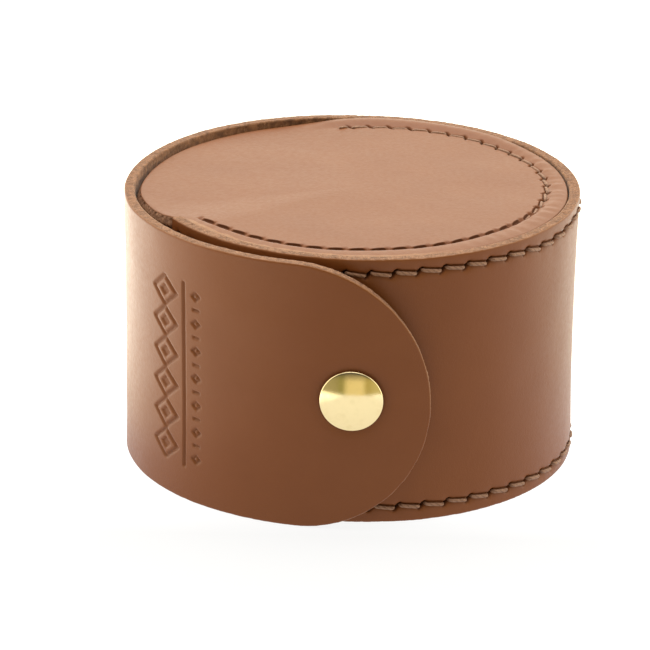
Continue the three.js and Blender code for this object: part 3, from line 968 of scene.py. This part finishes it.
studio = {
    "floorRadius": 0.30, "floorTone": 0.12,
    # the floor's own glow at its front and back, where it changes, and how much more at each side
    "floorGlow": (0.84, 1.82), "glowReach": (-0.06, 0.07), "leftGlow": 1.5, "rightGlow": 0.3,
    "leftReach": (-0.11, -0.06), "rightReach": (0.055, 0.14),
    # the brightest parts of the floor are a warmer white
    "warmGlow": (1, 0.98, 0.83, 1), "warmReach": (1.2, 1.9),
    "front": (0.88, 0.86, 0.81, 1), "right": (2.5, 2.42, 2.0, 1), "left": (2.6, 2.5, 2.1, 1),
    "behind": (2.15, 2.12, 1.78, 1), "ceiling": (0.10, 0.09, 0.08, 1), "shown": (1.1, 1.1, 1.1, 1),
    # height of the table's far edge and of the room's wall, as the sine of their elevation, and
    # how softly they end
    "tableEdge": -0.17, "tableSoft": 0.012, "wallTop": 0.34, "wallSoft": 0.1,
    "lampReach": (0.60, 0.85),
    # parts of the direction, from -1 to 1, over which one tone gives way to the next
    "roomReach": (-0.62, -0.30), "behindReach": (0.1, 0.6), "sideReach": (-0.4, -0.1),
    "leftFade": (-0.75, -0.45), "rightFade": (0.8, 0.6),
    "overhead": {"at": (0, 0.25, 0.9), "size": 1.1, "watts": 6.5},
}


def makeFloor():
    material, tree, shader = newMaterial("paleFloor")
    tone = studio["floorTone"]
    grainOfPaper = noise(tree, objectPlace(tree), 30.0, 2.0, 0.5)
    colour = mixed(tree, grainOfPaper, (tone, tone, tone, 1), (tone * 1.06, tone * 1.06, tone * 1.06, 1))
    split = node(tree, "SeparateXYZ", {"Vector": objectPlace(tree)})
    dim, bright = studio["floorGlow"]
    glow = ranged(tree, split.outputs["Y"], *studio["glowReach"], dim, bright)
    left = ranged(tree, split.outputs["X"], *studio["leftReach"], 1 + studio["leftGlow"], 1)
    right = ranged(tree, split.outputs["X"], *studio["rightReach"], 1, 1 + studio["rightGlow"])
    glow = product(tree, product(tree, glow, left), right)
    warmth = ranged(tree, glow, *studio["warmReach"], 0, 1)
    glowColour = mixed(tree, warmth, (1, 1, 1, 1), studio["warmGlow"])
    fill(tree, shader, {"Base Color": colour, "Roughness": 0.9, "Specular IOR Level": 0.0})
    fill(tree, shader, {"Emission Color": glowColour, "Emission Strength": glow})
    sides = 128
    turn = np.linspace(0, 2 * np.pi, sides, endpoint=False)
    rim = np.stack([np.sin(turn), -np.cos(turn), 0 * turn], -1) * studio["floorRadius"]
    wedges = [[0, i + 1, (i + 1) % sides + 1] for i in range(sides)]
    mesh = bpy.data.meshes.new("floor")
    mesh.from_pydata([[0, 0, 0]] + rim.tolist(), [], wedges)
    mesh.materials.append(material)
    placed("floor", mesh)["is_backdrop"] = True


def makeLight():
    light = bpy.data.lights.new("overhead", "AREA")
    light.shape = "DISK"
    light.size = studio["overhead"]["size"]
    light.energy = studio["overhead"]["watts"]
    lamp = placed("overhead", light)
    lamp.location = studio["overhead"]["at"]
    lamp.rotation_euler = (-Vector(lamp.location)).to_track_quat("-Z", "Y").to_euler()


# tones of the room's wall from left to right of the object, seen only in the brass
roomTones = [
    (0.0, (0.5, 0.45, 0.3, 1)), (1.0, (0.5, 0.45, 0.3, 1)), (0.24, (0.4, 0.36, 0.2, 1)),
    (0.34, (0.34, 0.32, 0.12, 1)), (0.42, (0.86, 0.74, 0.42, 1)), (0.60, (0.88, 0.76, 0.44, 1)),
    (0.68, (0.5, 0.42, 0.16, 1)), (0.78, (0.62, 0.54, 0.26, 1)),
]


def makeWorld():
    # white all round; in front, above the table's far edge, a dimmer and warmer room
    world = bpy.data.worlds.new("studio")
    world.use_nodes = True
    bpy.context.scene.world = world
    tree = world.node_tree
    toward = node(tree, "TexCoord").outputs["Generated"]
    split = node(tree, "SeparateXYZ", {"Vector": toward})
    x, y, z = (split.outputs[k] for k in "XYZ")
    table, tableSoft = studio["tableEdge"], studio["tableSoft"]
    wall, wallSoft = studio["wallTop"], studio["wallSoft"]
    inFront = ranged(tree, y, *studio["roomReach"], 1, 0)
    aboveTable = ranged(tree, z, table - tableSoft, table + tableSoft, 0, 1)
    aboveWall = ranged(tree, z, wall - wallSoft, wall + wallSoft, 0, 1)
    belowLamp = ranged(tree, z, *studio["lampReach"], 1, 0)
    roomWall = node(tree, "ValToRGB", {"Fac": ranged(tree, x, -1, 1, 0, 1)})
    ramp = roomWall.color_ramp
    ramp.interpolation = "EASE"
    for index, (at, colour) in enumerate(roomTones):
        stop = ramp.elements[index] if index < 2 else ramp.elements.new(at)
        stop.position, stop.color = at, colour
    room = mixed(tree, aboveWall, roomWall.outputs["Color"], studio["ceiling"])
    where = product(tree, product(tree, inFront, aboveTable), belowLamp)
    isBehind = ranged(tree, y, *studio["behindReach"], 0, 1)
    around = mixed(tree, isBehind, studio["front"], studio["behind"])
    notInFront = ranged(tree, y, *studio["sideReach"], 0, 1)
    for tone in ("left", "right"):
        side = product(tree, ranged(tree, x, *studio[tone + "Fade"], 1, 0), notInFront)
        around = mixed(tree, side, around, studio[tone])
    light = mixed(tree, where, around, room)
    seen = node(tree, "LightPath").outputs["Is Camera Ray"]
    shown = mixed(tree, seen, light, studio["shown"])
    fill(tree, tree.nodes["Background"], {"Color": shown, "Strength": 1.0})


# the camera looks from the front and above at a point left of and below the drum's middle
view = {
    "distance": 1016.6, "elevation": 21.32, "roll": 1.131, "lens": 230.8, "sensor": 36.0,
    "aside": 8.98, "below": 3.30,
}


def makeCamera():
    rise, roll = math.radians(view["elevation"]), math.radians(view["roll"])
    back = Vector((0, -math.cos(rise), math.sin(rise)))
    level, upright = Vector((1, 0, 0)), Vector((0, math.sin(rise), math.cos(rise)))
    right = level * math.cos(roll) + upright * math.sin(roll)
    up = upright * math.cos(roll) - level * math.sin(roll)
    ahead = (-back * view["distance"] - right * view["aside"] - up * view["below"]).normalized()
    right = (right - ahead * right.dot(ahead)).normalized()
    up = right.cross(ahead)
    data = bpy.data.cameras.new("camera")
    data.sensor_width = view["sensor"]
    data.lens = view["lens"]
    data.clip_start, data.clip_end = 0.05, 20
    camera = placed("camera", data)
    stand = Vector((0, 0, mid)) + back * view["distance"]
    turn = Matrix((right, up, -ahead)).transposed().to_4x4()
    camera.matrix_world = Matrix.Translation(stand * mm) @ turn
    bpy.context.scene.camera = camera


makeFloor()
makeLight()
makeWorld()
makeCamera()
bpy.context.scene.view_settings.view_transform = "Standard"
print("floor, light and camera made")

low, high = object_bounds()
